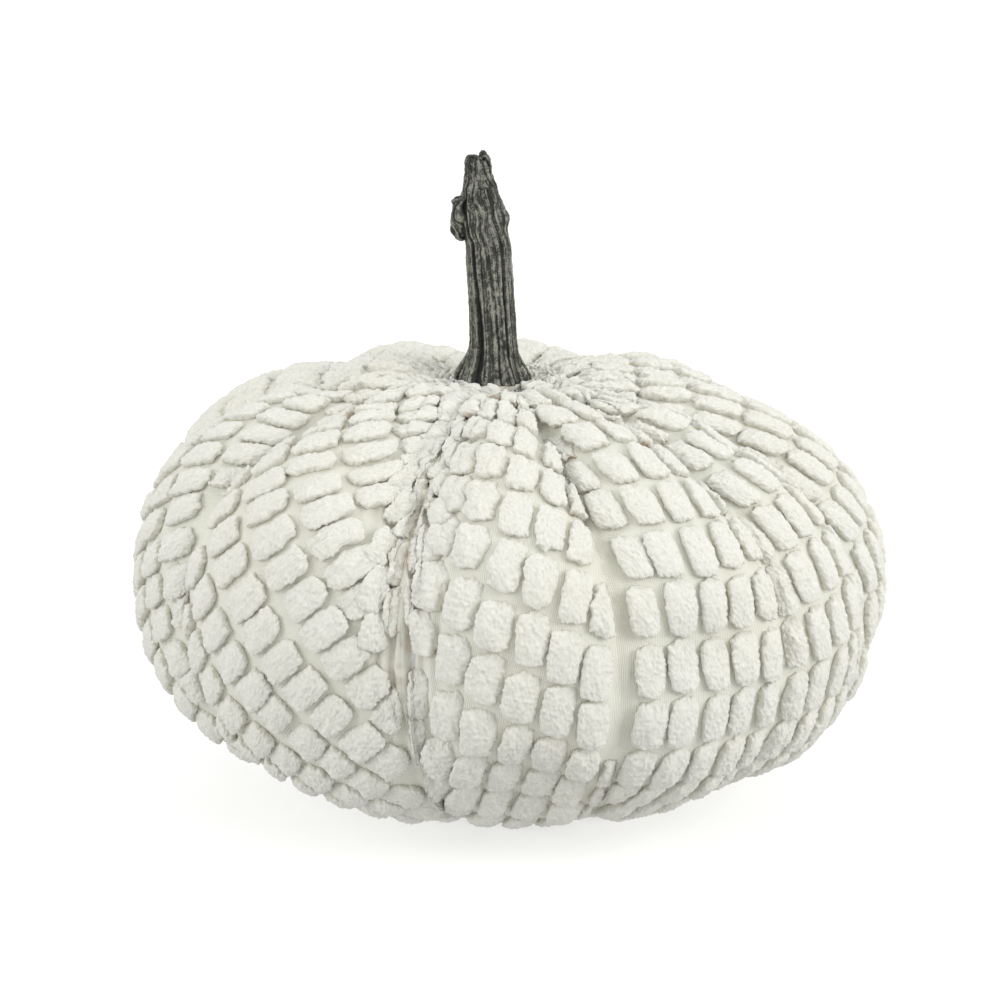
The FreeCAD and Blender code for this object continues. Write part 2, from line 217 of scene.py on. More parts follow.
def make_object(name, points, faces, material, attributes=(), uv_maps=()):
    """A smooth-shaded object riding on the root. points are in mm, uv_maps are (name, uv of each point)."""
    mesh = bpy.data.meshes.new(name)
    points, faces = np.asarray(points).reshape(-1, 3), np.asarray(faces)
    mesh.vertices.add(len(points))
    mesh.vertices.foreach_set("co", (points * MM).astype(np.float32).ravel())
    mesh.loops.add(faces.size)
    mesh.loops.foreach_set("vertex_index", faces.astype(np.int32).ravel())
    mesh.polygons.add(len(faces))
    mesh.polygons.foreach_set("loop_start", np.arange(0, faces.size, faces.shape[1], dtype=np.int32))
    mesh.update(calc_edges=True)
    mesh.validate()
    mesh.polygons.foreach_set("use_smooth", np.ones(len(mesh.polygons), dtype=bool))
    for attribute, values in attributes:
        layer = mesh.attributes.new(attribute, "FLOAT", "POINT")
        layer.data.foreach_set("value", np.asarray(values, dtype=np.float32).ravel())
    loops = np.empty(len(mesh.loops), dtype=np.int32)
    mesh.loops.foreach_get("vertex_index", loops)
    for uv_name, uv in uv_maps:
        layer = mesh.uv_layers.new(name=uv_name)
        layer.data.foreach_set("uv", np.asarray(uv, dtype=np.float32).reshape(-1, 2)[loops].ravel())
    mesh.materials.append(material)
    piece = add_object(name, mesh)
    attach(piece, "root")
    return piece


def weld(mesh):
    """Joins the points that lie in one place, and drops the faces that have no area."""
    shape = bmesh.new()
    shape.from_mesh(mesh)
    bmesh.ops.remove_doubles(shape, verts=shape.verts, dist=0.001 * MM)
    shape.to_mesh(mesh)
    shape.free()


# ---- Material building blocks ----
def new_material(name, **settings):
    """(material, its node tree, its Principled shader), with the settings on the shader's sockets."""
    material = bpy.data.materials.new(name)
    material.use_nodes = True
    tree = material.node_tree
    shader = tree.nodes["Principled BSDF"]
    for key, value in settings.items():
        shader.inputs[key.replace("_", " ")].default_value = value
    return material, tree, shader


def add_node(tree, kind, inputs=None, **settings):
    """A node with its settings, and its inputs set to values or linked to other nodes' outputs."""
    node = tree.nodes.new(kind)
    for key, value in settings.items():
        setattr(node, key, value)
    for key, value in (inputs or {}).items():
        if isinstance(value, bpy.types.NodeSocket):
            tree.links.new(value, node.inputs[key])
        else:
            node.inputs[key].default_value = value
    return node


def noise_value(tree, vector, size, detail=3.0, roughness=0.55):
    """Noise with features of that many mm, from 0 to 1."""
    inputs = {"Vector": vector, "Scale": 1 / (size * MM), "Detail": detail, "Roughness": roughness}
    return add_node(tree, "ShaderNodeTexNoise", inputs).outputs[0]


def ramp(tree, value, low, high, to_low=0.0, to_high=1.0):
    inputs = {"Value": value, "From Min": low, "From Max": high, "To Min": to_low, "To Max": to_high}
    return add_node(tree, "ShaderNodeMapRange", inputs).outputs[0]


def mix_colour(tree, share, a, b, blend="MIX"):
    node = add_node(tree, "ShaderNodeMix", data_type="RGBA", blend_type=blend)
    for socket, value in ((node.inputs[0], share), (node.inputs[6], a), (node.inputs[7], b)):
        if isinstance(value, bpy.types.NodeSocket):
            tree.links.new(value, socket)
        else:
            socket.default_value = value
    return node.outputs[2]


def arithmetic(tree, operation, a, b=0.0):
    return add_node(tree, "ShaderNodeMath", {0: a, 1: b}, operation=operation).outputs[0]


def object_position(tree):
    return add_node(tree, "ShaderNodeTexCoord").outputs["Object"]


def stretched(tree, vector, scale):
    return add_node(tree, "ShaderNodeMapping", {"Vector": vector, "Scale": scale}).outputs[0]


def wire(tree, shader, **values):
    """Links values to the shader's sockets of those names."""
    for key, value in values.items():
        tree.links.new(value, shader.inputs[key.replace("_", " ")])


def attribute_value(tree, name):
    return add_node(tree, "ShaderNodeAttribute", attribute_name=name).outputs["Fac"]


def bump(tree, height, depth, normal=None):
    """Normal output of a bump of that many mm."""
    inputs = {"Height": height, "Distance": depth * MM, "Strength": 1.0}
    if normal is not None:
        inputs["Normal"] = normal
    return add_node(tree, "ShaderNodeBump", inputs).outputs[0]


def grey(value):
    return (value, value, value, 1.0)


# ---- Materials ----
RIB_PITCH, COURSE_PITCH = 0.62, 0.5        # of the knit, in mm
CREAM_TIP = (0.845, 0.845, 0.785, 1)
# The roots' colour: partly the pile's denser colour, partly painted shade.
CREAM_ROOT_AND_SHADE = (0.76, 0.745, 0.655, 1)
CREAM_GROUND = (0.825, 0.83, 0.75, 1)
CREAM_SHADE = (0.84, 0.83, 0.78, 1)
# A warm painted shade for the pits of creases and the low ends of tufts.
WARM_PAINTED_SHADE = (0.46, 0.31, 0.19, 1)


def tinted_and_shaded(tree, colour, position):
    """A cream colour with slow unevenness over the body, warmed and darkened by painted shade in the pits of
    creases.
    """
    slow = noise_value(tree, position, 34, 2)
    colour = mix_colour(tree, ramp(tree, slow, 0.35, 0.7, 0.0, 0.5), colour, (1, 0.975, 0.93, 1), "MULTIPLY")
    return mix_colour(tree, attribute_value(tree, "pit"), colour, WARM_PAINTED_SHADE)


def pile_material():
    """Chenille pile: matte fibre ends in small locks, a little darker between them by painted shade, and at
    the roots by painted shade and a denser colour.
    """
    material, tree, shader = new_material(
        "chenille_pile", Roughness=0.95, Sheen_Weight=0.2, Sheen_Roughness=0.6,
        Subsurface_Weight=0.25, Subsurface_Scale=1.2 * MM, Subsurface_Radius=(1.0, 0.97, 0.9),
        Specular_IOR_Level=0.1,
    )
    position = object_position(tree)
    flat = add_node(tree, "ShaderNodeUVMap", uv_map="pile").outputs[0]
    locks = {"Vector": flat, "Scale": 1.3, "Detail": 4.0, "Roughness": 0.65}
    clumps = add_node(tree, "ShaderNodeTexNoise", locks).outputs[0]
    fibres = noise_value(tree, position, 0.35, 3, 0.7)
    # Towards the roots the colour takes on painted shade as well as the pile's denser colour.
    colour = mix_colour(tree, ramp(tree, attribute_value(tree, "tip"), 0.0, 0.3), CREAM_ROOT_AND_SHADE, CREAM_TIP)
    # Painted shade between the locks.
    shade = ramp(tree, clumps, 0.3, 0.58, 0.8, 0.0)
    colour = mix_colour(tree, shade, colour, CREAM_SHADE, "MULTIPLY")
    normal = bump(tree, fibres, 0.3, bump(tree, clumps, 0.3))
    wire(tree, shader, Base_Color=tinted_and_shaded(tree, colour, position), Normal=normal)
    return material


def knit_material():
    """Fine warp knit: close parallel ribs crossed by courses, in the fabric's own flat pattern."""
    material, tree, shader = new_material(
        "fine_knit", Roughness=0.88, Sheen_Weight=0.12, Sheen_Roughness=0.5, Specular_IOR_Level=0.2,
        Subsurface_Weight=0.06, Subsurface_Scale=0.8 * MM, Subsurface_Radius=(1.0, 0.97, 0.9),
    )
    position = object_position(tree)
    fabric = add_node(tree, "ShaderNodeUVMap", uv_map="fabric").outputs[0]
    split = add_node(tree, "ShaderNodeSeparateXYZ", {0: fabric})
    wobble = arithmetic(tree, "MULTIPLY", noise_value(tree, position, 6, 2), 1.2)
    across = arithmetic(tree, "MULTIPLY", split.outputs[0], 2 * math.pi / RIB_PITCH)
    across = arithmetic(tree, "ADD", across, wobble)
    along = arithmetic(tree, "MULTIPLY", split.outputs[1], 2 * math.pi / COURSE_PITCH)
    ribs = ramp(tree, arithmetic(tree, "SINE", across), -1, 1)
    courses = ramp(tree, arithmetic(tree, "SINE", along), -1, 1)
    weave = arithmetic(tree, "ADD", ribs, arithmetic(tree, "MULTIPLY", courses, 0.35))
    shade = ramp(tree, weave, 0.0, 1.35, 0.4, 0.0)
    colour = mix_colour(tree, shade, CREAM_GROUND, CREAM_SHADE, "MULTIPLY")
    fluff = noise_value(tree, position, 1.0, 4, 0.65)
    fuzz = arithmetic(tree, "MULTIPLY", fluff, attribute_value(tree, "fuzz"))
    normal = bump(tree, fuzz, 1.1, bump(tree, weave, 0.14))
    wire(tree, shader, Base_Color=tinted_and_shaded(tree, colour, position), Normal=normal)
    return material


def stem_material():
    """Cast resin painted as weathered wood: near-black in the grooves, dry-brushed grey on the ridges."""
    material, tree, shader = new_material("weathered_resin", Specular_IOR_Level=0.4)
    position = object_position(tree)
    strands = noise_value(tree, stretched(tree, position, (1, 1, 0.16)), 0.7, 5, 0.7)
    patches = noise_value(tree, position, 5, 4, 0.6)
    specks = noise_value(tree, position, 0.55, 3, 0.7)
    ridge = attribute_value(tree, "ridge")
    brushed = arithmetic(tree, "ADD", ridge, ramp(tree, strands, 0.3, 0.7, -0.3, 0.3))
    brushed = arithmetic(tree, "ADD", brushed, ramp(tree, patches, 0.3, 0.7, -0.2, 0.15))
    brushed = arithmetic(tree, "ADD", brushed, ramp(tree, specks, 0.3, 0.7, -0.3, 0.3))
    dark, middle, pale = (0.004, 0.0045, 0.003, 1), (0.042, 0.043, 0.033, 1), (0.31, 0.31, 0.26, 1)
    colour = mix_colour(tree, ramp(tree, brushed, 0.1, 0.6), dark, middle)
    colour = mix_colour(tree, ramp(tree, brushed, 0.55, 1.1), colour, pale)
    normal = bump(tree, specks, 0.2, bump(tree, strands, 0.4))
    wire(tree, shader, Base_Color=colour, Roughness=ramp(tree, brushed, 0.2, 0.9, 0.4, 0.7), Normal=normal)
    return material


def fibrous_material(name, colour, size, depth, direction=(1, 1, 1), **settings):
    """Felt, wadding or thread: matted fibres of that size in mm, stretched along a direction."""
    material, tree, shader = new_material(name, Roughness=0.92, Sheen_Weight=0.3, **settings)
    position = object_position(tree)
    fibres = noise_value(tree, stretched(tree, position, direction), size, 5, 0.7)
    patches = noise_value(tree, position, 12 * size, 2)
    dark = tuple(0.78 * c for c in colour[:3]) + (1,)
    shade = ramp(tree, fibres, 0.3, 0.7, 0, 0.7)
    shade = arithmetic(tree, "ADD", shade, ramp(tree, patches, 0.3, 0.7, 0, 0.3))
    wire(tree, shader, Base_Color=mix_colour(tree, shade, dark, colour), Normal=bump(tree, fibres, depth))
    return material


def steel_material():
    material, tree, shader = new_material("pin_steel", Metallic=1.0)
    position = object_position(tree)
    lines = noise_value(tree, stretched(tree, position, (1, 1, 0.03)), 0.2, 4)
    colour = mix_colour(tree, lines, (0.42, 0.42, 0.41, 1), (0.62, 0.62, 0.61, 1))
    wire(tree, shader, Base_Color=colour, Roughness=ramp(tree, lines, 0.2, 0.8, 0.25, 0.45))
    return material


def glue_material():
    """Set hot-melt: cloudy, slightly glossy, with shallow ripples."""
    material, tree, shader = new_material(
        "hot_melt", Subsurface_Weight=0.4, Subsurface_Scale=1.5 * MM,
        Subsurface_Radius=(1.0, 0.95, 0.85), IOR=1.48,
    )
    position = object_position(tree)
    clouds = noise_value(tree, position, 3.5, 3)
    colour = mix_colour(tree, clouds, (0.80, 0.74, 0.60, 1), (0.88, 0.85, 0.75, 1))
    roughness = ramp(tree, clouds, 0.2, 0.8, 0.28, 0.5)
    wire(tree, shader, Base_Color=colour, Roughness=roughness, Normal=bump(tree, clouds, 0.4))
    return material


# ---- The skin, from the CAD cover panels ----
def centre_of(node):
    low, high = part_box(node)
    return (low + high) / 2 / MM


TOP_RING, BOTTOM_RING = centre_of("top_gather_thread"), centre_of("bottom_gather_thread")
LEAN = (TOP_RING.x - BOTTOM_RING.x) / (TOP_RING.z - BOTTOM_RING.z)
PANELS = sorted(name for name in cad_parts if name.startswith("cover_panel"))


def panel_points(name):
    return vectors_of(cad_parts[name].data.vertices) / MM


def upright(points):
    """The points with the body's lean along X taken out."""
    straight = np.array(points, dtype=float)
    straight[..., 0] -= BOTTOM_RING.x + LEAN * (straight[..., 2] - BOTTOM_RING.z)
    return straight


def leaned(points):
    """The opposite of upright."""
    tilted = np.array(points, dtype=float)
    tilted[..., 0] += BOTTOM_RING.x + LEAN * (tilted[..., 2] - BOTTOM_RING.z)
    return tilted


def seams_of(name):
    """Azimuths of a panel's two seams, in degrees, from its points near the body's middle height."""
    points = upright(panel_points(name))
    points = points[np.abs(points[:, 2] - MIDDLE_Z) < 12]
    azimuths = np.degrees(np.arctan2(points[:, 0], -points[:, 1]))
    towards = points[:, :2].mean(axis=0)
    middle = math.degrees(math.atan2(towards[0], -towards[1]))
    turned = (azimuths - middle + 180) % 360 - 180
    return middle + turned.min(), middle + turned.max()


def skin_tree():
    """One tree of all the cover panels' faces, for casting rays at."""
    points, faces = [], []
    for name in PANELS:
        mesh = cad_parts[name].data
        start = len(points)
        points += [vertex.co / MM for vertex in mesh.vertices]
        faces += [[start + i for i in polygon.vertices] for polygon in mesh.polygons]
    return BVHTree.FromPolygons(points, faces)


LOWEST = min(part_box(name)[0].z for name in PANELS) / MM
HIGHEST = max(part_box(name)[1].z for name in PANELS) / MM
MIDDLE_Z = (LOWEST + HIGHEST) / 2
SKIN = skin_tree()
MIDDLE = np.array((0.0, 0.0, MIDDLE_Z))


def skin_point(azimuth, polar):
    """The skin's point on the ray from the body's middle at those angles, in degrees."""
    a, p = math.radians(azimuth), math.radians(polar)
    direction = np.array((math.sin(a) * math.sin(p), -math.cos(a) * math.sin(p), math.cos(p)))
    start, end = leaned(MIDDLE + 250 * direction), leaned(MIDDLE)
    hit = SKIN.ray_cast(Vector(start), Vector(end - start).normalized())[0]
    return np.array(hit) if hit is not None else end


def even_polars(count):
    """Polar angles that divide the skin's line down the front into even lengths."""
    tries = np.linspace(TOP_POLAR, BOTTOM_POLAR, 240)
    line = np.array([skin_point(0.0, polar) for polar in tries])
    lengths = np.concatenate(([0], np.cumsum(np.linalg.norm(np.diff(line, axis=0), axis=1))))
    return np.interp(np.linspace(0, lengths[-1], count), lengths, tries)


class Gore:
    """One gore: its grid of skin points, and the map between its flat pattern and the body."""

    def __init__(self, index, name, polars):
        self.index, self.name = index, name
        start, end = seams_of(name)
        self.azimuths = np.linspace(start + 0.05, end - 0.05, GORE_COLUMNS + 1)
        skin = np.array([[skin_point(a, p) for a in self.azimuths] for p in polars])
        self.skin = smoothed(skin, 2)

    def set_ground(self, ground):
        """Takes the knitted ground's points, and measures the flat pattern on them."""
        self.ground = ground
        self.carrier = 0.4 * ground + 0.6 * smoothed(ground, 24)
        self.normals = grid_normals(smoothed(ground, 8))
        steps = np.linalg.norm(np.diff(ground, axis=1), axis=2)
        across = np.concatenate((np.zeros((len(ground), 1)), np.cumsum(steps, axis=1)), axis=1)
        self.shares = across / across[:, -1:]
        self.width = smoothed(across[:, -1:], 20)[:, 0]
        middle = ground[:, ground.shape[1] // 2]
        down = np.linalg.norm(np.diff(middle, axis=0), axis=1)
        self.down = np.concatenate(([0], np.cumsum(down)))
        self.length = self.down[-1]
        even = np.linspace(0, 1, across.shape[1])
        self.column_of = np.array([np.interp(even, row, np.arange(len(row))) for row in self.shares])
        self.gather = 1 + GATHER * np.exp(-((self.down / GATHER_WIDTH) ** 2))

    def place(self, t, s):
        """(row, column) on the grid of points of the flat pattern, t across and s down from the top."""
        row = np.interp(s, self.down, np.arange(len(self.down)))
        wide = np.interp(s, self.down, self.width * self.gather)
        share = (t / wide + 0.5) * (self.column_of.shape[1] - 1)
        return row, sample(self.column_of, row, share)

    def half_width(self, s):
        return np.interp(s, self.down, self.width * self.gather) / 2

    def flat(self):
        """(t, s) of every grid point: the opposite of place."""
        t = (self.shares - 0.5) * (self.width * self.gather)[:, None]
        return t, np.broadcast_to(self.down[:, None], t.shape)


# ---- The knitted ground ----
CLOTH_FRAMES = 18
CLOTH = {
    "quality": 5, "mass": 0.2, "tension_stiffness": 12, "compression_stiffness": 12, "shear_stiffness": 4,
    "bending_stiffness": 0.06, "use_pressure": True, "uniform_pressure_force": 1.6,
    "vertex_group_mass": "stitched", "shrink_min": -0.055,
}


def meridian_normals(gore):
    """Outward directions square to each column's own line, with no part towards the next column."""
    down = np.gradient(smoothed(gore.skin, 3), axis=0)
    azimuths = np.radians(gore.azimuths)
    sideways = np.stack((np.cos(azimuths), np.sin(azimuths), np.zeros_like(azimuths)), -1)
    return unit(np.cross(down, np.broadcast_to(sideways, down.shape)))


def swelled_by_cloth(gores, grounds, stride=(8, 5)):
    """How far a cloth simulation moves the ground: a grid of moves for each gore, at that stride.

    The ground is one closed bag of loose fabric under the filling's pressure. Its seams and its gathered
    ends are stitched down, so the fabric swells and buckles between them.
    """
    coarse = [ground[:: stride[1], :: stride[0]] for ground in grounds]
    ring = np.concatenate([grid[:, :-1] for grid in coarse], axis=1)
    rows, columns = ring.shape[:2]
    mesh = bpy.data.meshes.new("bag")
    mesh.from_pydata((ring.reshape(-1, 3) * MM).tolist(), [], quads(rows, columns, wrap=True).tolist())
    bag = add_object("bag", mesh)
    per_gore = coarse[0].shape[1] - 1
    pins = bag.vertex_groups.new(name="stitched")
    for row in range(rows):
        for column in range(columns):
            at_seam = column % per_gore == 0
            at_end = row < 2 or row > rows - 4
            if at_seam or at_end:
                pins.add([row * columns + column], 1.0, "REPLACE")
    cloth = bag.modifiers.new("cloth", "CLOTH")
    for key, value in CLOTH.items():
        setattr(cloth.settings, key, value)
    cloth.settings.effector_weights.gravity = 0
    scene = bpy.context.scene
    for step in range(1, CLOTH_FRAMES + 1):
        scene.frame_set(step)
    after = vectors_of(evaluated(bag).vertices)
    scene.frame_set(1)
    moves = (after.reshape(rows, columns, 3) / MM) - ring
    size = np.linalg.norm(moves, axis=2, keepdims=True)
    moves *= np.minimum(1, MAX_SWELL / np.maximum(size, 1e-9))
    bpy.data.objects.remove(bag)
    out = []
    for i in range(len(gores)):
        picked = [(i * per_gore + k) % columns for k in range(per_gore + 1)]
        out.append(moves[:, picked])
    return out


def puckers(gore, ground):
    """Small folds along the seams, where the stitching takes in more fabric than it is long."""
    steps = np.linalg.norm(np.diff(ground, axis=1), axis=2).sum(axis=1)[:, None]
    across = np.linspace(0, 1, ground.shape[1])[None, :]
    down = np.linspace(0, 1, len(ground))[:, None]
    folds = 0.0
    for side, share in ((-1, across), (1, 1 - across)):
        bunched = (gore.index, side) in BUNCHED
        reach, depth = (13.0, 1.3) if bunched else (8.0, 1.0)
        stretch = np.array((1.0, 1.0, 0.22 if bunched else 0.55))
        fold = noise(ground * stretch, 5.0, 21) + 0.5 * noise(ground * stretch, 2.4, 22)
        if bunched:
            pleats = np.cos(2 * math.pi * share * steps / 5.5 + 2 * noise(ground, 14, 23))
            fold = fold + 0.9 * pleats
        folds = folds + depth * np.exp(-((share * steps / reach) ** 2)) * fold
        if bunched:
            ridge = np.exp(-((share * steps / 2.4) ** 2)) * smoothstep(0.08, 0.15, down)
            folds = folds + ridge * (1.9 + 0.8 * noise(ground, 4, 24))
    return folds * (1 - smoothstep(0.5, 0.8, down))


def make_gores():
    polars = even_polars(GORE_ROWS + 1)
    gores = [Gore(i, name, polars) for i, name in enumerate(PANELS)]
    directions = [meridian_normals(gore) for gore in gores]
    grounds = [gore.skin - PILE_HEIGHT * out for gore, out in zip(gores, directions)]
    moves = swelled_by_cloth(gores, grounds)
    for k, move in enumerate(moves):
        rows = np.linspace(0, move.shape[0] - 1, GORE_ROWS + 1)[:, None]
        columns = np.linspace(0, move.shape[1] - 1, GORE_COLUMNS + 1)[None, :]
        rows, columns = np.broadcast_arrays(rows, columns)
        grounds[k] = grounds[k] + smoothed(sample(move, rows, columns), 4)
    for gore, ground, out in zip(gores, softened(grounds), directions):
        ground = ground + puckers(gore, ground)[..., None] * out
        gore.set_ground(ground)
        # How deep each point lies in its crease sets the warm painted shade there.
        depth = np.einsum("rci,rci->rc", gore.skin - crest_like(gore), out)
        gore.pit = pits(gore, -depth)
    return gores


def softened(grounds):
    """The grounds with the creases between them rounded off, most of all below the middle."""
    ring = np.concatenate([ground[:, :-1] for ground in grounds], axis=1)
    columns = ring.shape[1]
    soft = smoothed(ring, 70, wrap=True)
    down = np.linspace(0, 1, len(ring))[:, None, None]
    from_bunched = np.abs(np.arange(columns) - GORE_COLUMNS)[None, :, None] / GORE_COLUMNS
    share = np.maximum(0.45 + 0.5 * smoothstep(0.2, 0.5, down), 1 - smoothstep(0.3, 0.6, from_bunched))
    ring = ring + (soft - ring) * share
    picked = [np.arange(k * GORE_COLUMNS, (k + 1) * GORE_COLUMNS + 1) % columns for k in range(len(grounds))]
    return [ring[:, chosen] for chosen in picked]


def crest_like(gore):
    """The gore's skin as it would be without its creases: the middle column turned to each azimuth."""
    straight = upright(gore.skin)
    radius = np.hypot(straight[..., 0], straight[..., 1])
    share = np.linspace(0, 1, radius.shape[1])[None, :]
    crest = radius[:, radius.shape[1] // 2][:, None] * np.ones_like(share)
    azimuths = np.radians(gore.azimuths)[None, :]
    points = np.stack((crest * np.sin(azimuths), -crest * np.cos(azimuths), straight[..., 2]), -1)
    return leaned(points)


def pits(gore, depth):
    """How much warm painted shade the ground gets: patches along the deep creases and round the neck."""
    patchy = smoothstep(0.0, 0.6, noise(gore.ground, 6, 31) + 0.5 * noise(gore.ground, 2.2, 32))
    return 0.36 * smoothstep(3.5, 9.0, depth) * patchy


# ---- Tufts ----
def tuft_template():
    """(p, q, out, reach, rise, faded) of a tuft's grid points.

    p and q run from -1 to 1 across and along, and out from 0 to 1 from middle to rim. reach is how far
    out the point lies, as a share of the half size, and rise its height as a share of the pile. The pile
    lies towards -p and -q: there the rim bulges over its own foot, and where faded is 1 it thins out onto
    the ground.
    """
    p = np.linspace(-1, 1, TUFT_GRID[0] + 1)[:, None]
    q = np.linspace(-1, 1, TUFT_GRID[1] + 1)[None, :]
    p, q = np.broadcast_arrays(p, q)
    out = np.maximum(np.abs(p), np.abs(q))
    stations = (0.0, 0.35, 0.60, 0.74, 0.83, 0.89, 0.94, 1.0)
    crisp_reach = np.interp(out, stations, (0.0, 0.43, 0.74, 0.91, 0.985, 1.0, 0.98, 0.91))
    crisp_rise = np.interp(out, stations, (1.0, 1.02, 0.96, 0.85, 0.68, 0.45, 0.15, -0.20))
    faded_reach = np.interp(out, stations, (0.0, 0.38, 0.66, 0.83, 0.93, 1.00, 1.05, 1.10))
    faded_rise = np.interp(out, stations, (1.0, 0.88, 0.68, 0.51, 0.37, 0.23, 0.07, -0.20))
    length = np.maximum(np.hypot(p, q), 1e-6)
    faded = smoothstep(-0.10, 0.55, (0.85 * p + 0.50 * q) / length)
    reach = crisp_reach + (faded_reach - crisp_reach) * faded
    rise = crisp_rise + (faded_rise - crisp_rise) * faded
    return p, q, out, reach, rise, faded


TEMPLATE = tuft_template()


def is_bunched(gore, t):
    """Whether the seam on that side of the gore's middle is a bunched one."""
    return (gore.index, 1 if t > 0 else -1) in BUNCHED


class Tuft:
    """Where one tuft lies on its gore's flat pattern, and its size and turn."""

    # The last argument is how much warm painted shade darkens the tuft's lower end.
    def __init__(self, t, s, turn, size, height, crumple, end_shade=0.0):
        self.t, self.s, self.turn, self.size = t, s, turn, size
        self.height, self.crumple, self.end_shade = height, crumple, end_shade


def tufts_of(gore):
    """The gore's tufts, from its grain's lattice, without those that a seam takes in."""
    turn, slip, start = GRAINS[gore.index]
    angle = math.radians(turn)
    across = np.array((math.cos(angle), math.sin(angle)))
    along = np.array((-math.sin(angle), math.cos(angle)))
    middle = 0.5 * gore.length
    tufts = []
    lattice = range(-LATTICE_REACH, LATTICE_REACH + 1)
    for i, j in itertools.product(lattice, lattice):
        a = i * TUFT_PITCH[0] + start[0]
        b = j * TUFT_PITCH[1] + slip * a * TUFT_PITCH[1] / TUFT_PITCH[0] + start[1]
        t, up = a * across + b * along + RNG.normal(0, 0.35, 2)
        s = middle - up
        spread = RNG.normal(1, 0.035, 3)
        wobble = RNG.normal(0, 1, 4)
        limit = gore.half_width(s)
        if not TOP_MARGIN < s < gore.length - BOTTOM_MARGIN or abs(t) > limit + SEAM_ALLOWANCE:
            continue
        at_neck = math.exp(-((s / 36.0) ** 2))
        bunched = is_bunched(gore, t)
        if bunched and limit - abs(t) < BUNCHED_WIDTH and s < BUNCHED_LENGTH:
            continue
        reach = 13.0 if bunched else 7.0
        near_seam = math.exp(-(((limit - abs(t)) / reach) ** 2)) * (1 - s / gore.length) ** 0.7
        crumple = min(1.0, 0.15 + 0.8 * at_neck + 0.8 * near_seam)
        wobble = wobble * (0.25 + crumple)
        grown = 1 + 0.25 * at_neck
        tufts.append(Tuft(
            t + 0.5 * wobble[0],
            s + 0.7 * wobble[1],
            angle + math.radians(3.5 * wobble[2]),
            (TUFT_SIZE[0] * spread[0] * grown, TUFT_SIZE[1] * spread[1] * grown),
            PILE_HEIGHT * spread[2] * (1 + 0.15 * crumple),
            crumple,
            # Warm painted shade on the lower ends of some tufts near the neck and the seams.
            0.9 * (RNG.uniform() < 0.45 * at_neck + 0.3 * near_seam),
        ))
    return tufts + collar_of(gore) + bunched_of(gore)


def collar_of(gore):
    """Crumpled pile that stands up round the foot of the stem."""
    tufts = []
    for s, count, height in ((7.4, 3, 6.4), (11.0, 3, 5.4), (15.0, 4, 4.6)):
        limit = gore.half_width(s)
        for k in range(count):
            t = limit * (2 * (k + 0.5 * (s > 9)) / count - 1) + RNG.normal(0, 1.0)
            size = (2.8 * limit / count * RNG.uniform(0.9, 1.2), RNG.uniform(5.5, 7.0))
            turn = math.radians(RNG.normal(0, 16))
            tufts.append(Tuft(t, s + RNG.normal(0, 0.8), turn, size, height * RNG.uniform(0.85, 1.15), 0.6))
    return tufts


def bunched_of(gore):
    """Narrow crumpled part-tufts along the gore's seams where the cover is drawn in most."""
    tufts = []
    for seam, side in BUNCHED:
        if seam != gore.index:
            continue
        for inset, first in ((3.6, 18.0), (11.0, 25.0)):
            for s in np.arange(first, 148.0, 14.6):
                t = side * (gore.half_width(s) - inset + RNG.normal(0, 0.7))
                size = RNG.uniform(8.6, 10.6), RNG.uniform(14.0, 17.0)
                turn = math.radians(RNG.normal(-5 * side, 8))
                height = RNG.uniform(3.3, 4.3)
                # How much warm painted shade darkens this part-tuft's lower end.
                end_shade = RNG.uniform(0.0, 1.0)
                tufts.append(Tuft(t, s + RNG.normal(0, 1.4), turn, size, height, 0.28, end_shade))
    return tufts


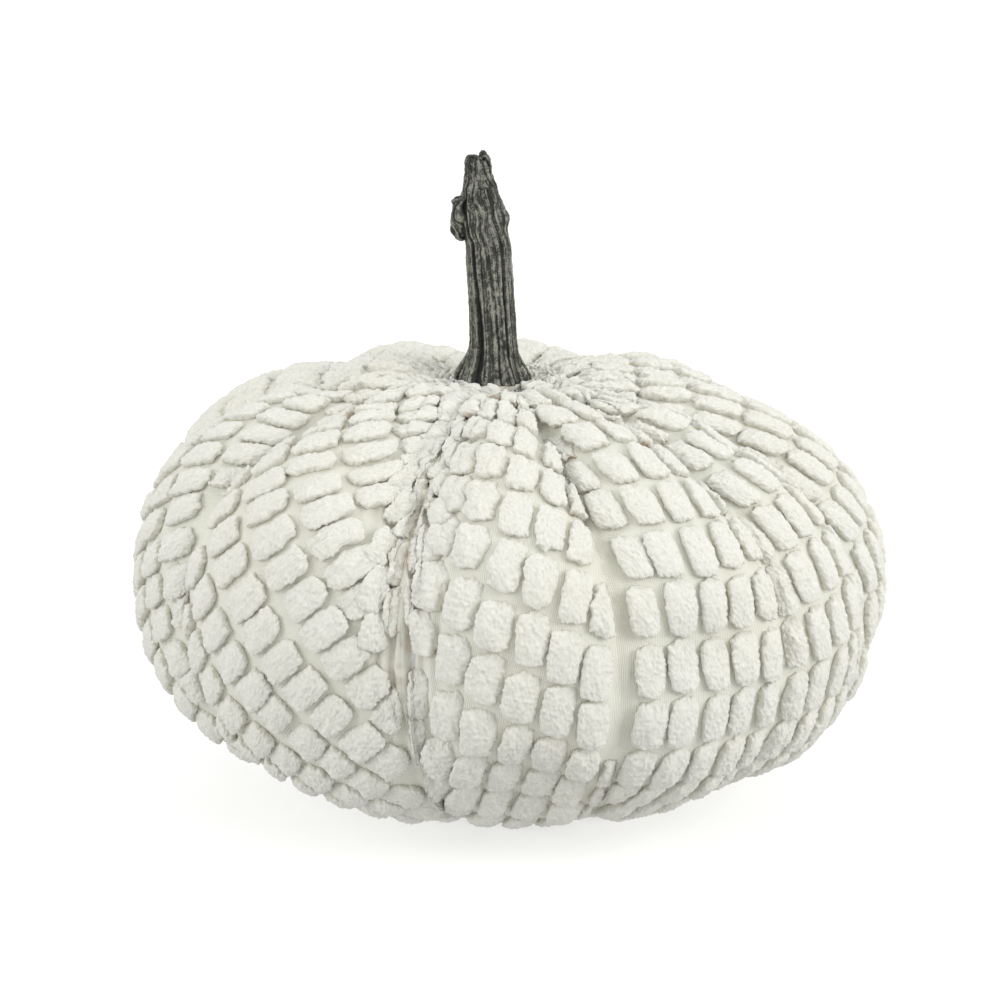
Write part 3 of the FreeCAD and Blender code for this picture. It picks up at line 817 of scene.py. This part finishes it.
def tuft_mesh(gore, tuft, seed):
    """(points, warm painted shade, tip, pile) of one tuft's grid, before the grains of the pile.

    pile is the place on the tuft in mm, drawn together along the way that the pile lies.
    """
    p, q, out, reach, rise, faded = TEMPLATE
    corner = 0.29            # how much the tuft's corners are rounded off
    length = np.maximum(out, 1e-6)
    sp, sq = p / length, q / length
    a = sp * np.sqrt(1 - corner * sq**2) * reach
    b = sq * np.sqrt(1 - corner * sp**2) * reach
    ragged = np.stack((a * 3 + seed * 7.3, b * 4, np.full_like(a, seed * 3.1)), -1)
    uneven = (0.05 + 0.09 * tuft.crumple) * noise(ragged, 1.1, 41) + 0.03 * noise(ragged, 0.55, 45)
    edge = 1 + uneven * smoothstep(0.4, 0.9, out)
    local_a, local_b = a * edge * tuft.size[0] / 2, b * edge * tuft.size[1] / 2
    lift = tuft.height * rise
    cos, sin = math.cos(tuft.turn), math.sin(tuft.turn)
    gathered = np.interp(tuft.s, gore.down, gore.gather)
    pile_t = (local_a * cos - local_b * sin) / gathered
    pile_s = local_a * sin + local_b * cos
    pile_a, pile_b = pile_t * cos + pile_s * sin, pile_s * cos - pile_t * sin
    pile = np.stack((pile_a + 0.25 * pile_b, 0.6 * pile_b, 0.5 * lift + 9.1 * seed), -1)
    leaning = np.maximum(lift, 0) * (1 - 0.6 * faded) * (1 - 0.5 * tuft.crumple)
    local_a, local_b = local_a - 0.22 * leaning, local_b - 0.16 * leaning
    t = tuft.t + local_a * cos - local_b * sin
    s = tuft.s - (local_a * sin + local_b * cos)
    limit = gore.half_width(s)
    soft = 2.2               # how near the seam the tuft begins to be held back
    over = np.abs(t) - (limit - soft)
    held = limit - soft * np.exp(-np.maximum(over, 0) / soft)
    t = np.where(over > 0, np.sign(t) * held, t)
    row, column = gore.place(t, s)
    base = sample(gore.carrier, row, column)
    normal = unit(sample(gore.normals, row, column))
    squeezed = smoothstep(-2.5, 3.0, over) * (rise > 0)
    height = lift * (1 - (0.1 if is_bunched(gore, tuft.t) else 0.6) * squeezed)
    lumps = noise(base, 4.2, 42) * (0.10 + 0.75 * tuft.crumple)
    lumps = lumps + (0.08 + 0.25 * tuft.crumple) * noise(base, 2.1, 43)
    height = height + lumps * smoothstep(0.1, 0.6, rise)
    points = base + normal * height[..., None]
    # Warm painted shade: the ground's crease shade, or a darker lower end on some tufts, on the tuft's low
    # rim only.
    patchy = smoothstep(0.0, 0.25, noise(ragged, 1.6, 44))
    low_end_shade = 0.9 * tuft.end_shade * smoothstep(0.45, 0.85, -b) * patchy
    pit = np.maximum(sample(gore.pit, row, column), low_end_shade) * np.clip(1.25 - 1.5 * rise, 0, 1)
    return points, pit, np.clip(rise, 0, 1), pile


def tuft_pieces(gore, material):
    """The gore's tufts as pieces of a limited number each, with rough pile surfaces."""
    tufts = sorted(tufts_of(gore), key=lambda tuft: tuft.s)
    rows, columns = TUFT_GRID[0] + 1, TUFT_GRID[1] + 1
    cell_faces = quads(rows, columns)[:, ::-1]
    count = math.ceil(len(tufts) / TUFTS_PER_PIECE)
    for part, chosen in enumerate(np.array_split(np.arange(len(tufts)), count), 1):
        made = [tuft_mesh(gore, tufts[which], gore.index * 200 + which) for which in chosen]
        points, pit, tip, pile = (np.array(values) for values in zip(*made))
        cells = math.ceil(math.sqrt(len(chosen)))
        inner = np.stack((TEMPLATE[0], TEMPLATE[1]), -1) * 0.48 + 0.5
        corners = np.array([(k % cells, k // cells) for k in range(len(chosen))])
        baked = (corners[:, None, None] + inner) / cells
        faces = np.concatenate([cell_faces + k * rows * columns for k in range(len(chosen))])
        fluff = np.array([tufts[which].crumple for which in chosen])
        piece = make_object(
            f"cover_tufts_{gore.index + 1:02d}_{part}", roughened(points, pile, fluff), faces, material,
            (("pit", pit), ("tip", tip)),
            (("OFBake", baked), ("pile", pile[..., :2] + 20 * corners[:, None, None])),
        )


def roughened(blocks, pile, fluff):
    """The tufts' points pushed out in the locks that chenille's pile makes, more where it is ruffled."""
    normals = np.array([-grid_normals(block) for block in blocks])
    push = 0.55 * granules(pile, 1.05, 51) + 0.18 * noise(blocks, 0.7, 52) - 0.2
    return blocks + normals * (push * (1 + fluff[:, None, None]))[..., None]


def knit_piece(gore, material):
    rows, columns = gore.ground.shape[:2]
    turn = math.radians(GRAINS[gore.index][0])
    t, s = gore.flat()
    up = 0.5 * gore.length - s
    cos, sin = math.cos(turn), math.sin(turn)
    fabric = np.stack((t * cos + up * sin, up * cos - t * sin), -1)
    baked = np.stack((
        np.broadcast_to(np.linspace(0.01, 0.99, columns)[None, :], t.shape),
        np.broadcast_to(np.linspace(0.99, 0.01, rows)[:, None], t.shape),
    ), -1)
    # The ground carries its warm painted shade of the creases as an attribute.
    piece = make_object(
        f"cover_knit_{gore.index + 1:02d}", gore.ground, quads(rows, columns), material,
        (("pit", gore.pit), ("fuzz", 1 - smoothstep(24, 52, s))), (("OFBake", baked), ("fabric", fabric)),
    )
    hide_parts(gore.name)


# ---- Stem ----
STEM_LOW, STEM_HIGH = (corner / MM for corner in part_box("stem"))
STEM_FOOT = np.array((centre_of("stem_pin").x, centre_of("stem_pin").y, STEM_LOW.z))
STEM_HEIGHT = STEM_HIGH.z - STEM_LOW.z


def swept_tube(stations, segments=64):
    """(points, faces) of a closed tube through stations of (x, y, z, radius along X, radius along Y)."""
    stations = np.array(stations, dtype=float)
    along = np.linspace(0, len(stations) - 1, 14 * (len(stations) - 1) + 1)
    curve = np.stack([catmull(stations[:, k], along) for k in range(5)], -1)
    angle = np.linspace(0, 2 * math.pi, segments, endpoint=False)
    ring = np.stack((np.cos(angle), np.sin(angle), np.zeros_like(angle)), -1)
    spread = np.stack((curve[:, 3], curve[:, 4], np.zeros(len(curve))), -1)
    points = curve[:, None, :3] + ring[None] * spread[:, None]
    faces = [list(face) for face in quads(len(curve), segments, wrap=True)]
    faces.append(list(range(segments)))
    faces.append([(len(curve) - 1) * segments + k for k in reversed(range(segments))])
    return points.reshape(-1, 3), faces


def catmull(values, at):
    """Catmull-Rom interpolation of values at fractional indices."""
    padded = np.concatenate(([2 * values[0] - values[1]], values, [2 * values[-1] - values[-2]]))
    i = np.minimum(at.astype(int), len(values) - 2)
    f = at - i
    a, b, c, d = (padded[i + k] for k in range(4))
    return 0.5 * (2 * b + (c - a) * f + (2 * a - 5 * b + 4 * c - d) * f**2 + (3 * b - a - 3 * c + d) * f**3)


STEM_LINE = (
    (-1.2, 0.0, -0.4, 11.9, 11.9),
    (-1.3, 0.0, 1.0, 11.7, 11.7),
    (-1.3, 0.0, 2.8, 10.9, 10.8),
    (-1.2, 0.0, 7.2, 8.9, 9.0),
    (-1.0, 0.0, 13.0, 7.9, 8.0),
    (-1.4, 0.0, 24.1, 7.5, 7.6),
    (-2.1, 0.0, 35.3, 7.4, 7.4),
    (-2.7, 0.0, 45.4, 7.1, 7.2),
    (-4.0, 0.0, 51.0, 7.5, 7.1),
    (-4.8, 0.0, 56.0, 7.5, 6.7),
    (-5.3, 0.0, 60.5, 6.4, 5.9),
    (-5.8, 0.0, 64.5, 4.8, 4.6),
)
STEM_LEFT_PRONG = (
    (-6.6, 0.0, 57.0, 4.4, 4.2),
    (-7.0, -0.2, 62.5, 4.0, 3.7),
    (-7.2, -0.4, 67.5, 3.0, 3.0),
    (-7.3, -0.4, 71.8, 2.5, 2.7),
    (-7.4, -0.3, 73.4, 2.1, 2.2),
    (-7.4, -0.3, 74.6, 1.4, 1.5),
    (-7.4, -0.3, 75.2, 0.4, 0.4),
)
STEM_RIGHT_PRONG = (
    (-1.4, 1.0, 54.0, 3.4, 3.4),
    (-1.9, 1.2, 60.0, 3.1, 3.2),
    (-2.9, 1.4, 66.5, 2.2, 2.5),
    (-3.6, 1.5, 72.0, 1.9, 2.0),
    (-4.0, 1.5, 74.9, 1.4, 1.5),
    (-4.1, 1.5, 76.3, 0.4, 0.4),
)
STEM_LEFT_KNOT = (
    (-11.6, -0.6, 46.6, 0.9, 1.8),
    (-12.0, -0.6, 48.6, 2.2, 3.4),
    (-12.0, -0.6, 52.5, 2.5, 4.2),
    (-11.6, -0.6, 56.5, 2.9, 4.4),
    (-11.0, -0.6, 59.8, 3.2, 3.8),
    (-10.4, -0.6, 61.2, 2.0, 2.4),
)
STEM_LEFT_BUMP = (
    (-13.2, -0.8, 48.6, 0.5, 0.8),
    (-13.5, -0.8, 49.8, 1.2, 1.5),
    (-13.3, -0.8, 51.6, 1.1, 1.4),
)
STEM_RIGHT_KNOT = (
    (0.4, 0.6, 47.2, 0.8, 2.0),
    (1.2, 0.6, 50.0, 2.1, 3.4),
    (1.6, 0.6, 53.6, 2.3, 3.6),
    (1.0, 0.6, 57.2, 2.0, 3.2),
    (-0.2, 0.6, 60.6, 1.2, 2.2),
)
STEM_PARTS = (STEM_LINE, STEM_LEFT_PRONG, STEM_RIGHT_PRONG, STEM_LEFT_KNOT, STEM_LEFT_BUMP, STEM_RIGHT_KNOT)


def stem_blank():
    """(points, normals, faces) of the stem's parts joined into one closed mesh of fine even cells."""
    points, faces = [], []
    for stations in STEM_PARTS:
        new_points, new_faces = swept_tube(stations)
        start = sum(len(block) for block in points)
        points.append(new_points)
        faces += [[start + i for i in face] for face in new_faces]
    mesh = bpy.data.meshes.new("stem_blank")
    mesh.from_pydata((np.concatenate(points) * MM).tolist(), [], faces)
    blank = add_object("stem_blank", mesh)
    remesh = blank.modifiers.new("remesh", "REMESH")
    remesh.mode = "VOXEL"
    remesh.voxel_size = 0.29 * MM
    smooth = blank.modifiers.new("smooth", "SMOOTH")
    smooth.iterations = 8
    made = evaluated(blank)
    points, normals = vectors_of(made.vertices) / MM, vectors_of(made.vertices, "normal")
    corners = np.array([list(polygon.vertices) for polygon in made.polygons])
    bpy.data.objects.remove(blank)
    return points, normals, corners


STEM_FACE = -1.35            # the angle of the stem's smoother, mottled face


def strand_relief(angle, around, count, seed):
    """(push, ridge) of that many strands round the stem, parted by thin grooves of varying depth."""
    phase = count * angle / (2 * math.pi) + 0.55 * noise(around, 6.5, seed)
    gap = np.abs(phase - np.round(phase))
    depth = 0.4 + 0.6 * smoothstep(-0.45, 0.35, noise(around, 4.5, seed + 1))
    depth = depth * (1 - 0.75 * np.exp(-(((angle - STEM_FACE) / 0.42) ** 2)))
    groove = depth * (1 - smoothstep(0.0, 0.16, gap))
    shoulder = smoothstep(0.10, 0.2, gap) * (1 - smoothstep(0.2, 0.42, gap))
    return -groove + 0.25 * shoulder, -groove + 0.45 * shoulder


def stem_piece(material):
    """The stem: strands parted by thin lengthwise grooves, knots, and a lobed root flare."""
    points, normals, faces = stem_blank()
    line = np.array(STEM_LINE)
    height = points[:, 2]
    centre_x = np.interp(height, line[:, 2], line[:, 0])
    angle = np.arctan2(points[:, 1], points[:, 0] - centre_x) + 0.005 * height
    around = np.stack((np.cos(angle) * 7, np.sin(angle) * 7, height * 0.08), -1)
    knotty = smoothstep(43, 52, height)
    winding = angle + 0.30 * knotty * noise(points, 7, 60)
    sides = 1 - smoothstep(0.6, 0.97, np.abs(normals[:, 2]))
    wide_push, wide_ridge = strand_relief(winding, around, 9, 61)
    fine_push, fine_ridge = strand_relief(winding, around, 25, 71)
    push = (1.15 * wide_push + 0.42 * fine_push + 0.45 * noise(around, 5.5, 63)) * sides
    ridge = 0.50 + 0.85 * wide_ridge + 0.5 * fine_ridge + 0.2 * noise(points, 4, 67)
    grain = noise(points * np.array((1, 1, 0.6)), 0.9, 65) + 0.6 * noise(points, 0.5, 68)
    root = 1 - smoothstep(1.5, 11.0, height)
    lobes = np.cos(6 * angle + 1.6 * noise(around, 6, 66))
    push = push + 0.7 * knotty * noise(points, 3.6, 64) + 0.15 * grain + 1.2 * root * lobes * sides
    ridge = np.clip(ridge + 0.28 * grain, 0, 1)
    moved = points + normals * push[:, None]
    moved[:, 2] = np.clip(moved[:, 2], 0.05, STEM_HEIGHT)
    piece = make_object("stem_carved", moved + STEM_FOOT, faces, material, (("ridge", ridge),))
    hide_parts("stem")


# ---- Filling and felt ----
def filling_piece(gores, material):
    """The wadding, lumpy, just inside the knit."""
    rings = [gore.ground[::8, ::8][:, :-1] - 1.6 * gore.normals[::8, ::8][:, :-1] for gore in gores]
    grid = np.concatenate(rings, axis=1)
    rows, columns = grid.shape[:2]
    middle = grid.mean(axis=(0, 1))
    inward = unit(middle - grid)
    grid = grid + inward * (0.6 + 0.6 * noise(grid, 11, 71))[..., None]
    ends = [np.broadcast_to(row.mean(axis=0), (1, columns, 3)) for row in (grid[0], grid[-1])]
    grid = np.concatenate((ends[0], grid, ends[1]))
    piece = make_object("fibre_wadding", grid, quads(rows + 2, columns, wrap=True), material)
    weld(piece.data)
    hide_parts("fibre_core")


def felt_piece(material):
    """The felt disc: a soft cut edge, slightly uneven in outline and thickness."""
    low, high = (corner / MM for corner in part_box("base_felt"))
    radius, thickness = (high.x - low.x) / 2, high.z - low.z
    profile = [(share * (radius - 0.9), thickness) for share in np.linspace(0, 1, 20)]
    profile += [(radius - 0.35, 0.86 * thickness), (radius - 0.1, 0.6 * thickness), (radius, 0.4 * thickness)]
    profile += [(radius - 0.15, 0.14 * thickness), (radius - 0.6, 0.0)]
    profile += [(share * (radius - 0.9), 0.0) for share in np.linspace(1, 0, 20)]
    segments = 180
    angle = np.linspace(0, 2 * math.pi, segments, endpoint=False)
    rho, z = np.array(profile)[:, 0][:, None], np.array(profile)[:, 1][:, None]
    points = np.stack((rho * np.sin(angle), -rho * np.cos(angle), z * np.ones_like(angle)), -1)
    ragged = noise(points, 2.2, 81) + 0.6 * noise(points, 0.9, 82)
    at_edge = smoothstep(radius - 3, radius, rho)
    outward = np.stack((np.sin(angle), -np.cos(angle), 0 * angle), -1)
    points = points + outward[None] * (0.22 * ragged * at_edge)[..., None]
    upper = (z > 0.5 * thickness) * 1.0
    points[..., 2] = np.clip(points[..., 2] - 0.10 * np.abs(ragged) * upper, 0, thickness)
    faces = quads(len(profile), segments, wrap=True)
    piece = make_object("base_felt_disc", points, faces, material)
    weld(piece.data)
    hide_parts("base_felt")


# ---- CAD nodes that stay ----
def paint_nodes():
    thread = fibrous_material("spun_thread", (0.80, 0.77, 0.69, 1), 0.5, 0.12, (1, 1, 0.5))
    cord = fibrous_material("braided_cord", (0.82, 0.79, 0.72, 1), 0.7, 0.2, (1, 1, 0.4))
    materials = {"seam_thread": thread, "top_gather": thread, "bottom_gather": thread, "centre_tie": cord,
                 "stem_pin": steel_material(), "stem_glue": glue_material(), "base_glue": glue_material()}
    for name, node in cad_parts.items():
        for prefix, material in materials.items():
            if name.startswith(prefix):
                node.data.materials.clear()
                node.data.materials.append(material)


# ---- Stage ----
CAMERA_ELEVATION = 15.5
CAMERA_DISTANCE = 1500.0
LENS = 161.7
SHIFT = (-0.010, 0.072)      # frames the body low and a little right, with room for the stem


def camera():
    target = leaned(MIDDLE) + np.array((0, 0, 1.8))
    e = math.radians(CAMERA_ELEVATION)
    data = bpy.data.cameras.new("camera")
    data.lens = LENS
    data.sensor_width = 36
    data.shift_x, data.shift_y = SHIFT
    data.clip_end = 20
    view = add_object("camera", data)
    view.location = Vector(target + CAMERA_DISTANCE * np.array((0, -math.cos(e), math.sin(e)))) * MM
    view.rotation_euler = (math.radians(90 - CAMERA_ELEVATION), 0, 0)
    bpy.context.scene.camera = view


LIGHT_SIDE = 1.0             # lights are in metres and watts
LIGHT_AIM = (0, 0, 0.07)
LIGHTS = (
    ("key", (1.35, -0.75, 0.7), 14.5),
    ("fill", (-1.35, -0.75, 0.6), 10.0),
    ("top", (0.1, 0.1, 1.4), 4.0),
)


def area_light(name, place, power):
    data = bpy.data.lights.new(name, "AREA")
    data.shape = "RECTANGLE"
    data.size = data.size_y = LIGHT_SIDE
    data.energy = power
    light = add_object(name, data)
    light.location = place
    light.rotation_euler = (Vector(LIGHT_AIM) - Vector(place)).to_track_quat("-Z", "Y").to_euler()


def stage():
    scene = bpy.context.scene
    scene.view_settings.view_transform = "Standard"
    world = bpy.data.worlds.new("studio")
    world.use_nodes = True
    world.node_tree.nodes["Background"].inputs["Color"].default_value = grey(1.0)
    world.node_tree.nodes["Background"].inputs["Strength"].default_value = 0.68
    scene.world = world
    floor_mesh = bpy.data.meshes.new("floor")
    floor_corners = [(-6, -6, 0), (6, -6, 0), (6, 6, 0), (-6, 6, 0)]
    floor_mesh.from_pydata(floor_corners, [], [(0, 1, 2, 3)])
    floor = add_object("floor", floor_mesh)
    material, _, shader = new_material("pale_floor", Roughness=0.9, Specular_IOR_Level=0.1)
    shader.inputs["Base Color"].default_value = grey(0.70)
    shader.inputs["Emission Color"].default_value = grey(1.0)
    shader.inputs["Emission Strength"].default_value = 0.50
    floor_mesh.materials.append(material)
    floor.visible_diffuse = False
    for light in LIGHTS:
        area_light(*light)


# ---- Build ----
camera()
stage()
pile, knit = pile_material(), knit_material()
gores = make_gores()
for gore in gores:
    knit_piece(gore, knit)
    tuft_pieces(gore, pile)
stem_piece(stem_material())
filling_piece(gores, fibrous_material("fibre_wadding", (0.90, 0.90, 0.89, 1), 1.6, 0.8))
felt_piece(fibrous_material("wool_felt", (0.80, 0.78, 0.71, 1), 0.45, 0.25))
paint_nodes()
